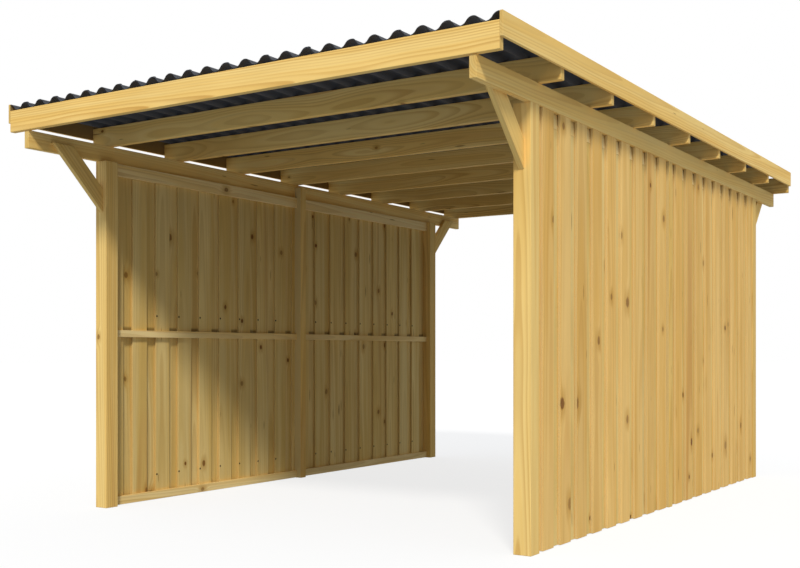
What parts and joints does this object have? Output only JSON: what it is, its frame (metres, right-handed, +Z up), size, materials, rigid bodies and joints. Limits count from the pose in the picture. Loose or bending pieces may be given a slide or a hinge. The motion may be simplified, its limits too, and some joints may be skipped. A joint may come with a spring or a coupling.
{
  "type": "timber carport",
  "caption": "Open-ended timber carport with boarded side walls, braced corner posts, purlins, rafters and a level roof of dark corrugated sheets.",
  "frame": {"origin": "on the ground, in the middle of the footprint", "axes": "+X across the bay to the right, +Y from the front to the rear along the bay, +Z up"},
  "size_m": [3.324, 5.1, 2.4653],
  "materials": {
    "timber": "planed pine with knots and long grain, clear finish",
    "cladding": "upright pine boards with knots and long grain, clear finish",
    "roofing": "near-black corrugated sheet, matt"
  },
  "bodies": {
    "root": {"front_left_brace": "timber", "front_left_post": "timber", "front_right_brace": "timber", "front_right_post": "timber", "left_bottom_rails": "timber", "left_inner_boards": "cladding", "left_middle_rails": "timber", "left_outer_boards": "cladding", "left_purlin": "timber", "left_top_rails": "timber", "left_verge_board": "timber", "middle_left_post": "timber", "middle_right_post": "timber", "rafter_1": "timber", "rafter_2": "timber", "rafter_3": "timber", "rafter_4": "timber", "rafter_5": "timber", "rafter_6": "timber", "rafter_7": "timber", "rafter_8": "timber", "rafter_9": "timber", "rear_left_brace": "timber", "rear_left_post": "timber", "rear_right_brace": "timber", "rear_right_post": "timber", "right_bottom_rails": "timber", "right_inner_boards": "cladding", "right_middle_rails": "timber", "right_outer_boards": "cladding", "right_purlin": "timber", "right_top_rails": "timber", "right_verge_board": "timber", "roof_sheet_1": "roofing", "roof_sheet_2": "roofing", "roof_sheet_3": "roofing"}
  },
  "joints": []
}
